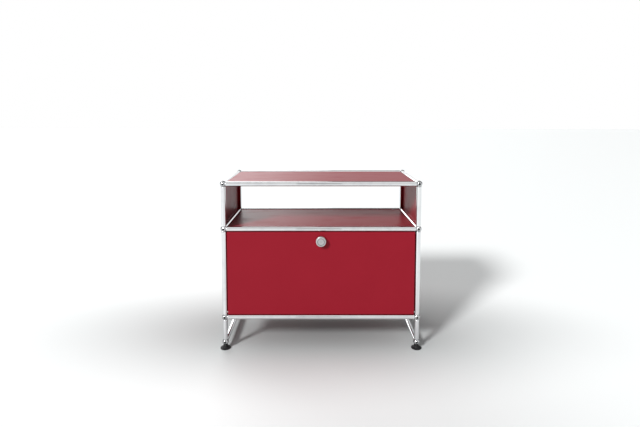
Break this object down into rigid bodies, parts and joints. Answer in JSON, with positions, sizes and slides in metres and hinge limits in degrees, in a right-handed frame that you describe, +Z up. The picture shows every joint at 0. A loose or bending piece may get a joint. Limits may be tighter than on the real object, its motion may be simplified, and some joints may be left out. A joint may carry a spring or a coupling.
{
  "type": "modular tube cabinet",
  "caption": "Low cabinet of chromed tubes and ball connectors with red folded steel panels, an open bay above a drop-down door with a turn knob, on adjustable feet.",
  "frame": {"origin": "on the floor under the middle of the overall box; the knob stands out at the front, so the frame's centre is 6.75 mm behind it", "axes": "+X to the right, +Y to the back, +Z up; the door faces -Y"},
  "size_m": [0.79, 0.396, 0.6628],
  "materials": {
    "chrome": "polished chrome plate",
    "red_paint": "semi-gloss powder coat",
    "zinc": "zinc plated",
    "satin_grey": "satin",
    "black_plastic": "fine matte",
    "buffer_rubber": "matte"
  },
  "bodies": {
    "frame": {"balls_top": "chrome", "balls_middle": "chrome", "balls_bottom": "chrome", "balls_foot": "chrome", "tubes_width_top": "chrome", "tubes_width_middle": "chrome", "tubes_width_bottom": "chrome", "tubes_depth_top": "chrome", "tubes_depth_middle": "chrome", "tubes_depth_bottom": "chrome", "tubes_depth_foot": "chrome", "posts_upper": "chrome", "posts_lower_front": "chrome", "posts_lower_back": "chrome", "legs": "chrome", "connector_screws": "zinc", "expander_sleeves": "zinc", "top_panel": "red_paint", "shelf_panel": "red_paint", "bottom_panel": "red_paint", "back_panel": "red_paint", "side_panel_upper_left": "red_paint", "side_panel_upper_right": "red_paint", "side_panel_lower_left": "red_paint", "side_panel_lower_right": "red_paint", "panel_pins": "zinc", "stop_brackets": "red_paint", "door_buffers": "buffer_rubber", "hinge_pins": "zinc", "stop_dowels": "zinc"},
    "door": {"door_panel": "red_paint", "hinge_block_left": "zinc", "hinge_block_right": "zinc", "hinge_rivets": "zinc", "lock_bush": "satin_grey", "bush_nut": "zinc"},
    "knob": {"knob": "satin_grey", "cam_tongue": "zinc", "cam_screw": "zinc"},
    "key_plug": {"key_plug": "satin_grey"},
    "foot_front_left": {"foot_pad_front_left": "black_plastic", "foot_stem_front_left": "zinc"},
    "foot_front_right": {"foot_pad_front_right": "black_plastic", "foot_stem_front_right": "zinc"},
    "foot_back_left": {"foot_pad_back_left": "black_plastic", "foot_stem_back_left": "zinc"},
    "foot_back_right": {"foot_pad_back_right": "black_plastic", "foot_stem_back_right": "zinc"}
  },
  "joints": [
    {"name": "door_hinge", "type": "hinge", "parent": "frame", "child": "door", "pos_m": [0, -0.16825, 0.146], "axis": [1, 0, 0], "range_deg": [0, 90]},
    {"name": "knob_turn", "type": "hinge", "parent": "door", "child": "knob", "pos_m": [0, -0.16825, 0.431], "axis": [0, -1, 0], "range_deg": [0, 90]},
    {"name": "key_turn", "type": "hinge", "parent": "knob", "child": "key_plug", "pos_m": [0, -0.16825, 0.431], "axis": [0, -1, 0], "range_deg": [0, 90]},
    {"name": "foot_front_left_height", "type": "slide", "parent": "frame", "child": "foot_front_left", "axis": [0, 0, -1], "range_m": [0, 0.005]},
    {"name": "foot_front_right_height", "type": "slide", "parent": "frame", "child": "foot_front_right", "axis": [0, 0, -1], "range_m": [0, 0.005]},
    {"name": "foot_back_left_height", "type": "slide", "parent": "frame", "child": "foot_back_left", "axis": [0, 0, -1], "range_m": [0, 0.005]},
    {"name": "foot_back_right_height", "type": "slide", "parent": "frame", "child": "foot_back_right", "axis": [0, 0, -1], "range_m": [0, 0.005]}
  ]
}
